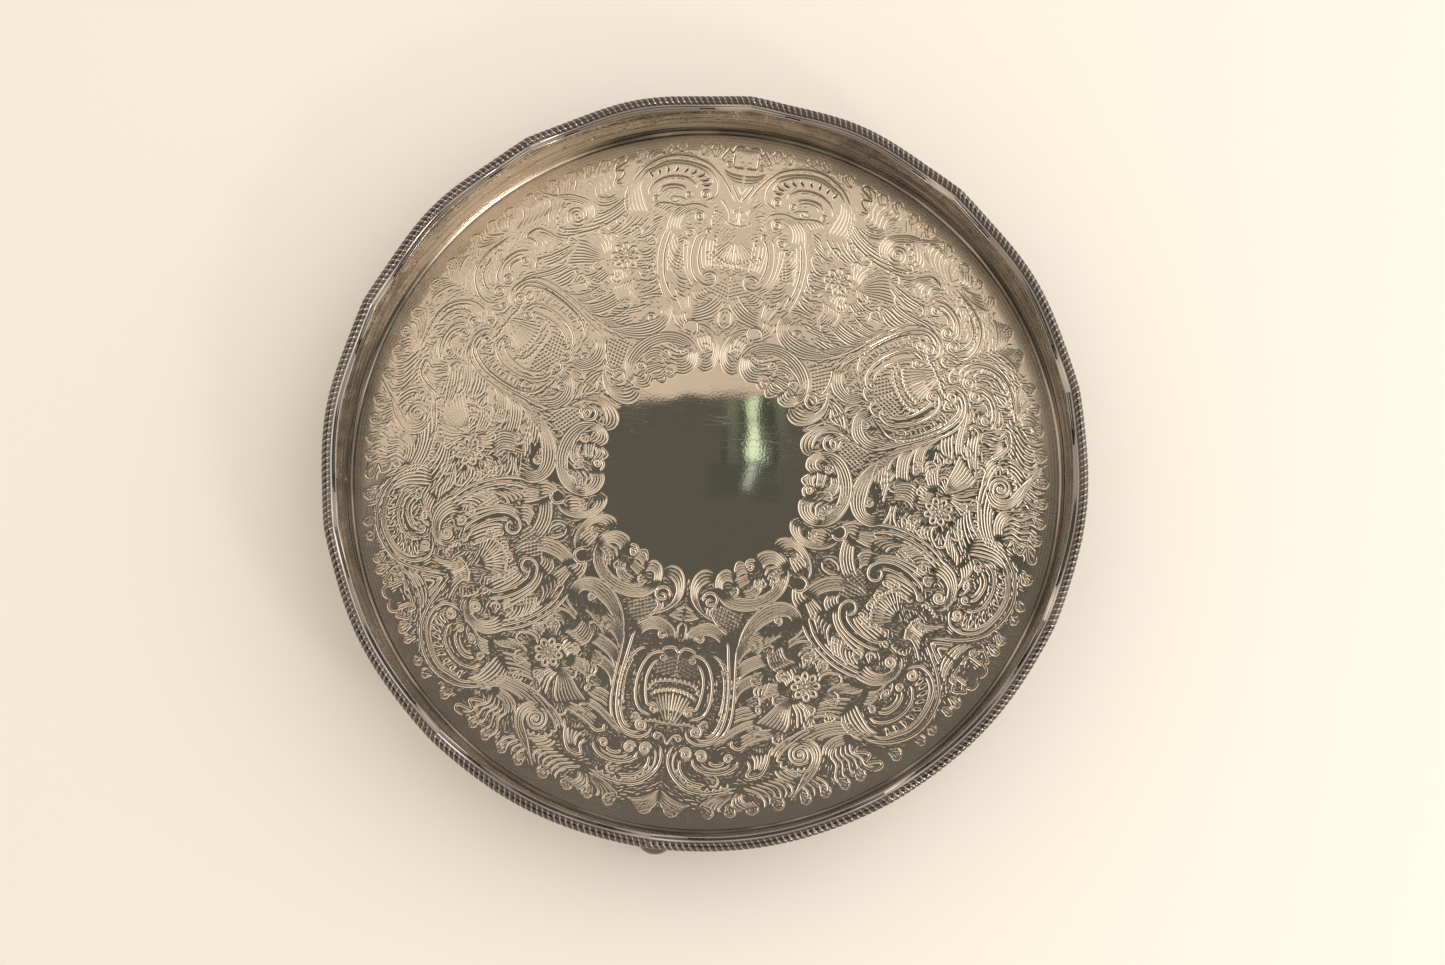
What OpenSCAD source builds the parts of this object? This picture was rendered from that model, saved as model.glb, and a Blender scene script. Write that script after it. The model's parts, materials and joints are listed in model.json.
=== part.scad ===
// Round galleried salver on three ball feet.
// Frame: millimetres, z = 0 is the floor, z axis is the centre line, a foot stands on -y.

/* [Plate] */
// height of the flat upper face of the plate above the floor
plate_top = 21; // [18:0.5:30]
// thickness of the plate metal
plate_thick = 1.4; // [1:0.1:2.5]
// radius where the flat face ends and the cove begins
flat_radius = 169.4; // [150:0.1:170.5]
// radius of the small cove where the plate turns up
cove_radius = 1.8; // [0.8:0.1:6]
// height of the upturned lip above the flat face
lip_height = 5.6; // [4.5:0.1:8]

/* [Gallery] */
// inner radius of the upright gallery band
band_inner = 171.5; // [168:0.1:173]
// thickness of the gallery band
band_thick = 1.2; // [0.8:0.1:2]
// height of the gallery band above the flat face
band_height = 27.6; // [20:0.1:34]
// how far the foot moulding stands out from the band
wire_out = 2.6; // [1.5:0.1:4]
// height of the foot moulding
wire_height = 4.2; // [3:0.1:6]
// width of the lap strip that closes the band
seam_width = 5.2; // [4:0.1:9]
// thickness of the lap strip
seam_thick = 0.35; // [0.3:0.05:0.8]
// direction of the lap strip in plan
seam_angle = 189.4; // [0:0.1:360]
// diameter of the two rivet heads
rivet_diameter = 2.2; // [1.5:0.1:3]

/* [Border] */
// outer radius of the rope border
rope_outer = 178; // [176:0.1:180]
// diameter of the rope bead
rope_diameter = 4.1; // [3:0.1:5]
// mean height of the middle of the rope above the flat face
rope_height = 30.5; // [28:0.1:34]
// half the rise and fall of the border
wave = 1.6; // [0.5:0.1:2.2]
// share of a half section where the border is lowest
dip_at = 0.64; // [0.5:0.01:0.8]
// how far the plain inner strip lies under the middle of the rope
strip_drop = 0.9; // [0.4:0.1:1.5]
// how far the border's skirt reaches down outside the band
skirt_drop = 5.5; // [4:0.1:7]
// thickness of the skirt
skirt_thick = 0.8; // [0.6:0.1:1.5]

/* [Feet] */
// diameter of a ball foot
ball_diameter = 18.5; // [14:0.1:22]
// distance of a ball foot from the centre line
ball_radius_at = 173.7; // [168:0.1:176]
// how much of the ball is worn flat underneath
ball_flat = 0.15; // [0.05:0.01:0.6]
// diameter of the collar between ball and plate
collar_diameter = 7.6; // [5:0.1:9]

/* [Hidden] */
sections = 10;
section_angle = 36;
steps = 10;
beads = 39;
first_cusp = 270;
plate_under = plate_top - plate_thick;
band_outer = band_inner + band_thick;
band_top = plate_top + band_height;
ball_centre = ball_diameter / 2 - ball_flat;
ball_top = ball_centre + sqrt(pow(ball_diameter / 2, 2) - pow(collar_diameter / 2, 2));
foot_angles = [270, 30, 150];
silver = [0.72, 0.69, 0.63];
dark = [0.5, 0.47, 0.42];

// height of the border over its mean, at angle t inside one section
function rise(t) = let(u = abs(t - section_angle / 2) / (section_angle / 2))
    u < dip_at ? wave * cos(180 * u / dip_at)
    : -wave + 2 * wave * pow((u - dip_at) / (1 - dip_at), 1.5);

module ring(r_in, r_out, z_low, z_high) {
    rotate_extrude($fn = 180) translate([r_in, z_low]) square([r_out - r_in, z_high - z_low]);
}

module tray_plate() color(silver) rotate_extrude($fn = 180) difference() {
    union() {
        translate([0, plate_under]) square([band_outer, plate_thick]);
        translate([flat_radius - 1, plate_under])
            square([band_inner - flat_radius + 1, lip_height + plate_thick]);
    }
    translate([flat_radius, plate_top + cove_radius]) circle(r = cove_radius, $fn = 48);
    translate([flat_radius - 2, plate_top])
        square([2, lip_height + 1]);
    translate([flat_radius - 2, plate_top + cove_radius])
        square([2 + cove_radius, lip_height]);
}

module gallery_band() color(silver)
    ring(band_inner, band_outer, plate_top, band_top);

module foot_moulding() color(silver) rotate_extrude($fn = 180) intersection() {
    translate([band_outer, plate_under]) square([wire_out, wire_height]);
    translate([band_outer - 0.6, plate_under + wire_height / 2])
        scale([1, 0.75]) circle(r = wire_out + 0.6, $fn = 40);
}

module gallery_seam_strip() color(silver) rotate([0, 0, seam_angle]) intersection() {
    ring(band_inner - seam_thick, band_inner, plate_top + lip_height, band_top);
    translate([band_inner - 10, -seam_width / 2, 0]) cube([20, seam_width, band_top + 5]);
}

module seam_rivets() color(dark) rotate([0, 0, seam_angle])
    for (z = [plate_top + 10, plate_top + 22])
        translate([band_inner - seam_thick, 0, z]) rotate([0, -90, 0])
            cylinder(d1 = rivet_diameter, d2 = rivet_diameter * 0.6, h = 0.7, $fn = 32);

// one tenth of the circle, for mitring a border casting
module section_wedge() linear_extrude(height = 3 * plate_top)
    polygon([[0, 0], [230, 0], [230 * cos(section_angle / 2), 230 * sin(section_angle / 2)],
        [230 * cos(section_angle), 230 * sin(section_angle)]]);

// the plain strip under the rope and its skirt, rising and falling along its length
module border_strip() difference() {
    intersection() {
        ring(band_inner, rope_outer - 1.5, plate_top, band_top + 9);
        rotate([0, 0, section_angle / 2]) rotate([90, 0, 90]) linear_extrude(height = 190)
            polygon(concat([[-70, 0]], [for (k = [-1 : 2 * steps + 1])
                let(t = k * section_angle / (2 * steps))
                [174 * sin(t - section_angle / 2),
                    plate_top + rope_height - strip_drop + rise(t)]], [[70, 0]]));
    }
    ring(band_inner - 3, band_outer, plate_top - 1, band_top);
    ring(band_outer - 1, band_outer + skirt_thick, plate_top - 1, band_top - skirt_drop);
    ring(band_outer + skirt_thick, rope_outer + 1, plate_top - 1, band_top - 0.4);
}

module border_section(i) color(silver) rotate([0, 0, first_cusp + i * section_angle])
    intersection() {
        union() {
            border_strip();
            for (j = [0 : beads - 1]) let(t = (j + 0.5) * section_angle / beads)
                rotate([0, 0, t])
                    translate([rope_outer - rope_diameter / 2, 0,
                        plate_top + rope_height + rise(t)])
                        sphere(d = rope_diameter, $fn = 24);
        }
        section_wedge();
    }

module ball_foot(i) color(silver) rotate([0, 0, foot_angles[i]])
    translate([ball_radius_at, 0, 0]) intersection() {
        translate([0, 0, ball_centre]) sphere(d = ball_diameter, $fn = 72);
        cylinder(r = ball_diameter, h = ball_top);
    }

module foot_collar(i) color(silver) rotate([0, 0, foot_angles[i]])
    translate([ball_radius_at, 0, ball_top])
        cylinder(d = collar_diameter, h = plate_under - ball_top, $fn = 48);

tray_plate();
gallery_band();
foot_moulding();
gallery_seam_strip();
seam_rivets();
border_section(0);  // border_section_01
border_section(1);  // border_section_02
border_section(2);  // border_section_03
border_section(3);  // border_section_04
border_section(4);  // border_section_05
border_section(5);  // border_section_06
border_section(6);  // border_section_07
border_section(7);  // border_section_08
border_section(8);  // border_section_09
border_section(9);  // border_section_10
ball_foot(0);  // ball_foot_front
ball_foot(1);  // ball_foot_right
ball_foot(2);  // ball_foot_left
foot_collar(0);  // foot_collar_front
foot_collar(1);  // foot_collar_right
foot_collar(2);  // foot_collar_left
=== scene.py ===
# %% [markdown]
# # A silver gallery salver
# A salver is a flat silver tray. This one has a chased plate, an upright gallery round it,
# a rope border cast in ten lengths, and three ball feet. The design model gives every piece
# its place; here the plate, the gallery and the border are made again with their finish and
# ornament, and the other shown pieces keep their shapes and get a finish.

# %% Load the shared frame
import json
import math

import bpy
import numpy as np
from mathutils import Matrix, Vector


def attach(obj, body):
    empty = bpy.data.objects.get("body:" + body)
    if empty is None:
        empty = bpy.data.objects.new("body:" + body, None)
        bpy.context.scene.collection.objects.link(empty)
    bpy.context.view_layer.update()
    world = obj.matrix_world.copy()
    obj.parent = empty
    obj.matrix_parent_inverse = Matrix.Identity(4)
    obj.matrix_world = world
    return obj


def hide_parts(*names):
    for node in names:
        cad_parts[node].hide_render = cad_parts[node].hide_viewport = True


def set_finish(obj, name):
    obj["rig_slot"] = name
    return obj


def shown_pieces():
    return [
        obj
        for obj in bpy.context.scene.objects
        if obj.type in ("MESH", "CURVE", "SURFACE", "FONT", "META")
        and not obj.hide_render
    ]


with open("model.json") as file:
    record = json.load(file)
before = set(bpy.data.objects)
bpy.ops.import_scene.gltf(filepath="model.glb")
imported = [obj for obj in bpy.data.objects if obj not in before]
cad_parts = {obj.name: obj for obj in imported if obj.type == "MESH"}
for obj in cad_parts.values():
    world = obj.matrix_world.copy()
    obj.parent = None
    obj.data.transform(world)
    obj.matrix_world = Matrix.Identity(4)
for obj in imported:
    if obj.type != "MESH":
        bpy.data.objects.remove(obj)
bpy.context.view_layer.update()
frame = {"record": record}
MM = 0.001
PLATE = 21.0         # height of the plate's flat face, mm
BASE = PLATE - 1.4   # height of its underside
FLAT = 169.4         # radius where the flat face ends
WALL = 171.5         # inner radius of the gallery band
BACK = 172.7         # outer radius of the gallery band
FRONT = 270          # direction of the front foot, degrees; everything repeats from there
rng = np.random.default_rng(7)

# %% [markdown]
# ## Chaser's strokes
# The ornament is flat-chased: a punch is walked along a drawn line and presses a fine groove.
# It repeats every 120 degrees and mirrors in between, so one wedge of 60 degrees holds it all.
# A point is (degrees from the foot's axis, distance from the centre in mm). A stroke is a smooth
# line through such points, kept with its width and depth until all are pressed in together.

# %% Points, smooth lines and the list of strokes
STROKES = []
BOLD, FIRM, PEN, LIGHT = 0.42, 0.38, 0.34, 0.28      # widths of a stroke, mm


def unit(a):
    return np.array([math.cos(a), math.sin(a)])


def left(u):
    return np.array([-u[1], u[0]])


def around(centre, r, a):
    """Points x, y at distances r and angles a (radians) from a centre."""
    return centre + np.c_[r * np.cos(a), r * np.sin(a)]


def spot(points):
    """Turns (degrees, mm from the centre) into flat x, y in mm."""
    p = np.atleast_2d(np.array(points, float))
    return around(0, p[:, 1], np.radians(p[:, 0]))


def smooth(p):
    """A smooth line through x, y points, with about one point every 0.22 mm."""
    p = np.array(p, float)
    q = np.vstack([2 * p[0] - p[1], p, 2 * p[-1] - p[-2]])
    out = []
    for i in range(1, len(q) - 2):
        n = max(2, int(np.linalg.norm(q[i + 1] - q[i]) / 0.22))
        t = np.linspace(0, 1, n, endpoint=False)[:, None]
        out.append(0.5 * (2 * q[i] + (q[i + 1] - q[i - 1]) * t
                          + (2 * q[i - 1] - 5 * q[i] + 4 * q[i + 1] - q[i + 2]) * t ** 2
                          + (3 * q[i] - q[i - 1] - 3 * q[i + 1] + q[i + 2]) * t ** 3))
    return np.vstack(out + [p[-1:]])


def even(line, n=0):
    """The same line with n points at equal steps; without n, at least one every 0.2 mm."""
    far = np.r_[0, np.cumsum(np.linalg.norm(np.diff(line, axis=0), axis=1))]
    at = np.linspace(0, far[-1], n or max(len(line), int(far[-1] / 0.2)))
    return np.c_[np.interp(at, far, line[:, 0]), np.interp(at, far, line[:, 1])]


def sides(line):
    """Unit direction and left-hand normal at each point of a line."""
    d = np.gradient(line, axis=0)
    d /= np.maximum(np.linalg.norm(d, axis=1), 1e-9)[:, None]
    return d, np.c_[-d[:, 1], d[:, 0]]


def press(line, width=PEN, depth=1.0, taper=0.12):
    """Keeps one stroke: a line in mm, pressed deeper in the middle than at its ends."""
    line = even(line)
    t = np.linspace(0, 1, len(line))
    k = np.clip(np.minimum(t, 1 - t) / taper, 0.25, 1)
    STROKES.append(np.c_[line, np.full(len(t), width), depth * k])


def draw(points, width=PEN, depth=1.0, taper=0.12):
    press(smooth(spot(points)), width, depth, taper)


print("stroke widths mm:", BOLD, FIRM, PEN, LIGHT)

# %% [markdown]
# ## Volutes, leaves, frills and shells
# Rococo chasing uses few words: the volute a scroll ends in, a sheaf of flowing cuts that makes
# a leaf, a palmette, a frilled edge, a shell of rays, a flower, and a lattice to fill a ground.

# %% Words of the ornament


def volute(centre, radius, start, turns, way):
    """A spiral that winds inwards from start (degrees) round centre, with a small round eye."""
    c = spot([centre])[0]
    t = np.linspace(0, 1, int(30 * abs(turns)) + 8)
    a = math.radians(start) + way * t * turns * 2 * math.pi
    press(around(c, radius * (1 - 0.8 * t), a), PEN, 1.0, 0.05)
    press(around(c, radius * 0.13, np.linspace(0, 2 * math.pi, 12)), PEN, 1.0, 0.01)


def sheaf(n, first, last):
    """Up to n flowing cuts side by side between two guide lines, over 1.2 mm apart: a leaf's body."""
    a, b = (even(smooth(spot(points)), 30) for points in (first, last))
    gap = np.linalg.norm(a - b, axis=1).mean()
    n = max(2, min(n, int(round(gap / 1.25)) + 1))
    for k, t in enumerate(np.linspace(0, 1, n)):
        edge = k in (0, n - 1)
        press(smooth(a * (1 - t) + b * t), 0.25 + 0.07 * edge, 1.05, 0.15)


def tuft(base, tip, wide, n):
    """A palmette: n cuts spread from a narrow base, with a small round lobe between their ends."""
    b, t = spot([base])[0], spot([tip])[0]
    u = (t - b) / np.linalg.norm(t - b)
    q, ends = np.linspace(0, 1, 14)[:, None], []
    for s in np.linspace(-1, 1, n):
        reach = np.linalg.norm(t - b) * (1 - 0.3 * s * s)
        line = b + u * reach * q + left(u) * wide * s * (0.15 + 0.85 * q ** 1.3 + 0.4 * q ** 4)
        press(line[3:], 0.24, 1.0, 0.2)
        ends.append(line[-1])
    g = np.linspace(0, math.pi, 9)[:, None]
    for p, e in zip(ends[:-1], ends[1:]):
        half = (e - p) / 2
        lobe = (p + e) / 2 - np.cos(g) * half + u * np.sin(g) * np.linalg.norm(half)
        press(lobe, 0.3, 0.95, 0.02)


def frill(points, size, n, side=1, width=0.32, t0=0.0, t1=1.0):
    """A row of n small lobes along one side of a line, from t0 to t1 of its length."""
    line = smooth(spot(points))
    nor = sides(line)[1]
    s = np.linspace(0, math.pi, 12)[:, None]
    for k in range(n):
        a = int((t0 + (t1 - t0) * k / n) * (len(line) - 1))
        b = int((t0 + (t1 - t0) * (k + 1) / n) * (len(line) - 1))
        mid, half = (line[a] + line[b]) / 2, (line[b] - line[a]) / 2
        out = nor[(a + b) // 2] * side * size
        press(mid - np.cos(s) * half + np.sin(s) ** 0.8 * out, width, 0.9, 0.05)
        press(mid + out * np.linspace(0.1, 0.75, 5)[:, None], 0.24, 0.6, 0.2)


def shell(centre, r_in, r_out, a0, a1, rays, scallop, width):
    """A fan of rays from a centre, with a scalloped edge; angles in degrees in the plate."""
    c = spot([centre])[0]
    edge = np.linspace(a0, a1, rays + 1)
    for k, a in enumerate(np.radians(edge)):
        s = np.linspace(r_in + 0.3 * r_out * (k % 2), r_out, 10)[:, None]
        press(c + unit(a) * s, 0.23, 1.0, 0.15)
    s = np.linspace(0, 1, 8)
    for a, b in zip(edge[:-1], edge[1:]):
        press(around(c, r_out + scallop * np.sin(math.pi * s), np.radians(a + (b - a) * s)),
              width, 1.0, 0.02)


def inside(p, corners):
    """Which points lie inside a polygon of x, y corners."""
    hit = np.zeros(len(p), bool)
    for (x0, y0), (x1, y1) in zip(corners, np.roll(corners, -1, axis=0)):
        cross = (y0 > p[:, 1]) != (y1 > p[:, 1])
        hit ^= cross & (p[:, 0] < (x1 - x0) * (p[:, 1] - y0) / (y1 - y0 + 1e-12) + x0)
    return hit


def lattice(corners, step=1.7):
    """Crossing lines, step mm apart, clipped to a polygon."""
    c = spot(corners)
    for a in (70, -10):
        u = unit(math.radians(a))
        for k in np.arange(-14, 15):
            p = c.mean(0) + left(u) * k * step + u * np.linspace(-22, 22, 160)[:, None]
            keep = inside(p, c)
            if keep.sum() > 4:
                press(p[keep], 0.22, 1.0, 0.02)


def flower(centre, size, petals, turn):
    """A round flower: a ring in the middle and veined petals."""
    c = spot([centre])[0]
    press(around(c, size * 0.22, np.linspace(0, 2 * math.pi, 14)), 0.3, 1.0, 0.01)
    s = np.linspace(-1, 1, 13)
    for k in range(petals):
        m = math.radians(turn + 360 * k / petals)
        r = size * (0.3 + 0.7 * np.cos(s * math.pi / 2) ** 0.45)
        press(around(c, r, m + s * math.pi / petals * 0.95), 0.32, 1.0, 0.05)
        for o in (-0.25, 0, 0.25):
            press(c + unit(m + o) * size * np.linspace(0.3, 0.75, 5)[:, None], 0.24, 0.6, 0.3)


def each(word, rows):
    """Chases one word of the ornament for every row of its arguments."""
    for row in rows:
        word(*row)


print("words:", [f.__name__ for f in (volute, sheaf, tuft, frill, shell, lattice, flower)])

# %% [markdown]
# ## Cartouche over each foot
# On the foot's axis two facing C-scrolls stand back to back under the border. From a volute below
# them long stems run to the swags round the centre and throw leaf after leaf to the side. Between
# the stems two plain C-bands hold a shell that opens towards the centre, over a lattice.

# %% Draw the foot-axis cartouche
each(draw, [
    ([(2.2, 131.2), (1, 134), (0.7, 138.8), (1.3, 143.5), (2.8, 148.2), (5, 151.6), (8.6, 152.8),
     (13.4, 151.6)], BOLD),
    ([(2.9, 133), (1.9, 136), (1.8, 141), (2.9, 146), (4.8, 149.4), (7.4, 151)], LIGHT),
    ([(3.2, 137.4), (3, 141), (3.8, 145), (5.4, 148), (8, 149.6)], BOLD),
    ([(5.5, 136), (5.7, 140), (7.2, 142.8), (9.6, 144.2), (12.2, 143.4), (14, 140.6), (14.2, 138)], BOLD),
    ([(8.6, 138.4), (9.4, 140), (10.6, 140.2), (11.6, 139.2)], BOLD),
    ([(6.8, 138.8), (8.2, 141.4), (10, 142.2), (12, 141.4), (13, 139.6)], LIGHT),
    ([(15.8, 138.6), (16.4, 142.5), (15.6, 146.2), (16.8, 147.2), (18.4, 146.4), (19.8, 142), (20.6, 138),
     (22, 134.4)], BOLD),
    ([(13.6, 129.4), (13.4, 131.8), (14.6, 133.6), (16, 132.6)], BOLD),
    ([(4.4, 121.4), (3.8, 124.4), (4.3, 128), (6, 130.4), (8.4, 130.4), (10.8, 128.4), (12.6, 124.6),
     (14, 118.6), (15, 111), (15.8, 104), (16.6, 97), (17.6, 90), (18.8, 84)], FIRM),
    ([(5.2, 127), (7, 128.8), (9.4, 128.2), (11.2, 124.6), (12.6, 118.6), (13.6, 111.6), (14.2, 105),
     (14.6, 99), (15, 92), (15.4, 86), (15.2, 81)], BOLD),
    ([(7.2, 127), (9, 126.6), (10.4, 123.6), (11.8, 118), (12.8, 111), (13.4, 104.6), (13.6, 98),
     (12.9, 93), (11.4, 90), (9.4, 88.6)], BOLD),
    ([(3.2, 118.6), (3.2, 115.6), (4.4, 113.6), (5.6, 114.6), (6.4, 112), (7.2, 107), (7.6, 102),
     (7.2, 97), (6, 93.6), (4.6, 93.4)], FIRM),
    ([(3.4, 118.4), (5.2, 119), (7.4, 117.4), (8.9, 113), (9.7, 107), (9.9, 101), (9.3, 95), (7.8, 91),
     (5.6, 89.2), (3.8, 89.6), (3.2, 91.4)], FIRM),
    ([(0, 88.6), (1.5, 86.2), (3.9, 86.6), (5.4, 88.4)], BOLD),
    ([(0, 132), (0.6, 129), (1.4, 127.2), (2.6, 126.6)], LIGHT),
])
each(volute, [
    ((4.1, 135), 3.0, -90, 1.9, -1), ((7.2, 136), 2.9, -90, 1.8, -1), ((12.4, 137.6), 2.0, 90, 1.6, 1),
    ((2.3, 128.3), 1.5, -90, 1.4, -1), ((5.9, 124.6), 3.1, 180, 1.6, -1), ((4.3, 116.2), 1.7, 0, 1.4, -1),
    ((4.5, 91.5), 1.7, 180, 1.4, 1), ((20.2, 117.4), 1.4, 0, 1.2, 1),
])
each(frill, [
    ([(3, 138), (2.8, 141), (3.9, 146), (6.7, 150), (9.3, 150.6), (12, 149)], 1.9, 8, -1, 0.3, 0.15, 1.0),
    ([(10.4, 119), (11.7, 113), (12.6, 106), (12.8, 99), (12, 93.6)], 2.9, 8, -1, 0.3, 0.0, 1.0),
    ([(5.4, 121.6), (3.4, 120.6), (1.6, 121.2), (0, 120.6)], 1.0, 5, 1, 0.3, 0.0, 1.0),
    ([(6.9, 107.6), (6.1, 103.4), (3.4, 101.2), (0, 100.4)], 1.3, 7, 1, 0.3, 0.0, 1.0),
])
each(sheaf, [
    (4, [(17, 137), (17.6, 140), (17.2, 144.4)], [(20, 137.4), (19.2, 141.4), (18, 145)]),
    (4, [(14.4, 134.6), (17, 131.8), (20, 130.6), (23, 130)],
     [(15, 128.8), (17.5, 127.4), (20, 127.2), (22.6, 128)]),
    (3, [(8.8, 131), (11.4, 129.2), (14.4, 126), (17, 124.4), (19.6, 124)],
     [(10.2, 129), (12.4, 126), (14.8, 123.4), (17, 122), (19.4, 121.8)]),
    (4, [(14, 121.4), (15.6, 120.2), (18, 119.8), (20.2, 119)],
     [(14.8, 116), (16, 115.2), (17.4, 115), (18.8, 116)]),
    (5, [(14.9, 113.4), (16, 109), (18, 106.2), (21, 105), (23.6, 105.4)],
     [(15.6, 106.6), (17.2, 103), (20, 101.2), (23.4, 100.6)]),
    (4, [(22, 105.8), (20.4, 108), (20.6, 111)], [(24.8, 106), (23.6, 109), (22.4, 111.6)]),
    (5, [(15.7, 105), (17.4, 101), (20, 98.6), (23.4, 97.6), (26, 98)],
     [(16.5, 98), (18.6, 94.4), (21.6, 93), (25.6, 92.8)]),
    (6, [(16.9, 96.2), (18.6, 91.8), (21.4, 89), (25.2, 88.4), (29, 89.4)],
     [(17.7, 88.6), (19.6, 84.6), (22.6, 82), (27, 80.4)]),
    (8, [(28, 116.4), (25, 117.4), (22, 120.6), (18.8, 124)],
     [(27.8, 118.4), (26.6, 124), (25.6, 128), (24, 131)]),
    (4, [(28.2, 118.6), (28.4, 124), (27.8, 128), (27.4, 131)], [(29.6, 119), (31, 124), (30.8, 128.6)]),
    (5, [(20.6, 114), (23, 112.2), (26.4, 112.6)], [(22, 108.4), (24, 107.2), (26.8, 108.4)]),
    (5, [(26.4, 103.6), (28.2, 107), (28.6, 110.6)], [(31, 103.6), (31, 106.6), (30.4, 109)]),
    (7, [(27.4, 91), (26.4, 95), (26.4, 99.4), (27.6, 102.6)],
     [(31.2, 91.4), (30.8, 95.4), (31.2, 99), (33, 102)]),
    (4, [(11, 119), (12.2, 112), (13, 105), (13.1, 98.6), (12.2, 94)],
     [(11.6, 121), (12.8, 113), (13.6, 105), (13.7, 98), (12.8, 92.6)]),
])
shell((0, 126), 4, 19.4, 153, 180, 5, 1.3, 0.32)
lattice([(-1, 99.4), (3, 99.6), (7, 99.2), (6.2, 94.8), (3, 89.6), (-1, 88.5)])
print("strokes so far:", len(STROKES))

# %% [markdown]
# ## Cartouche between the feet
# The other axis carries a crowned shield over two large gadrooned C-scrolls, the boldest forms
# on the plate: a double-lined arch with a row of short thick cuts inside it.

# %% Draw the shield-axis cartouche
each(draw, [
    ([(37.4, 146), (39.4, 151.6), (41.6, 156), (44.4, 159), (47, 159.9), (50, 158.5), (53, 155),
     (55, 150.4), (56.6, 145), (57.8, 140), (59.6, 133)], BOLD),
    ([(38.6, 146), (41, 152.4), (43.4, 155), (45.6, 156.8), (48, 156.6), (51, 154.4), (53.5, 151),
     (54.9, 146), (55.2, 141.6), (54.8, 138), (53.2, 135.4), (51.4, 134.8)], FIRM),
    ([(41.2, 150.4), (43.6, 154), (46, 155.4), (48.4, 155), (51, 152.8), (53, 149.4), (54, 145.6),
     (54.2, 142)], PEN),
    ([(40.9, 140), (41.8, 145), (44, 148.2), (46.5, 149), (49, 147.6), (50.7, 143.8), (51, 140.4)], 0.4),
    ([(42.8, 141), (44.2, 144), (46, 144.6), (48, 143.4), (49.2, 140.8)], 0.4),
    ([(43.6, 140.6), (44.8, 142.4), (46, 142.8), (47.4, 142), (48.4, 140)], LIGHT),
    ([(45, 136), (46.4, 138), (48, 137), (49, 134.8)], LIGHT),
    ([(55.9, 151.6), (57.6, 149.4), (60, 148.6)], FIRM),
    ([(56.2, 149.8), (57.8, 147.6), (60, 146.8)], PEN),
    ([(56.8, 147.6), (58.4, 145.6), (60, 145)], LIGHT),
    ([(57.8, 144.6), (58.9, 139.6), (60, 135.6)], BOLD),
    ([(59, 144), (59.6, 141), (60, 139.6)], LIGHT),
    ([(56.6, 155.4), (55.6, 157.6), (56.2, 160.4), (56.9, 162.4), (57.4, 160.8), (58, 163.8), (59, 164.3),
     (60, 162.9)], BOLD),
    ([(57.9, 161), (57.8, 157), (58, 153.4), (60, 152.8)], BOLD),
    ([(44.4, 124.4), (42.4, 118), (40.9, 111.6), (40, 105), (39.4, 98.6), (39.4, 92), (40.2, 86)], FIRM),
    ([(45, 123), (43.6, 117), (42.2, 110.6), (41.4, 104.6), (41, 98.4), (41.4, 92.6), (42.6, 87.6)],
     BOLD),
    ([(45.6, 121), (44.4, 115.6), (43.2, 110), (42.4, 104.4), (42.2, 100)], LIGHT),
    ([(41.8, 97), (41.6, 92), (42.6, 87.4), (43.8, 88.4), (43.2, 92), (42.2, 96.6)], LIGHT),
    ([(52.6, 120.4), (50.8, 117.6), (49.6, 112), (48.9, 106), (48.9, 100.4), (50, 95.4), (52.4, 92.2),
     (54.8, 92.6), (55.9, 95.4), (55.2, 98), (53.6, 98.8), (52.2, 97.4), (53, 95.8), (54.4, 96)], FIRM),
    ([(53.6, 118.6), (52, 115), (51.1, 109.6), (50.8, 104), (51.2, 99.4), (52.2, 96.4)], BOLD),
])


def gadroon(a, r, b, s):
    """One short thick cut from (a, r) to (b, s), bowed sideways."""
    draw([(a, r), ((a + b) / 2 + 0.25, (r + s) / 2), (b, s)], 0.58, 1.2, 0.4)


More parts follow.
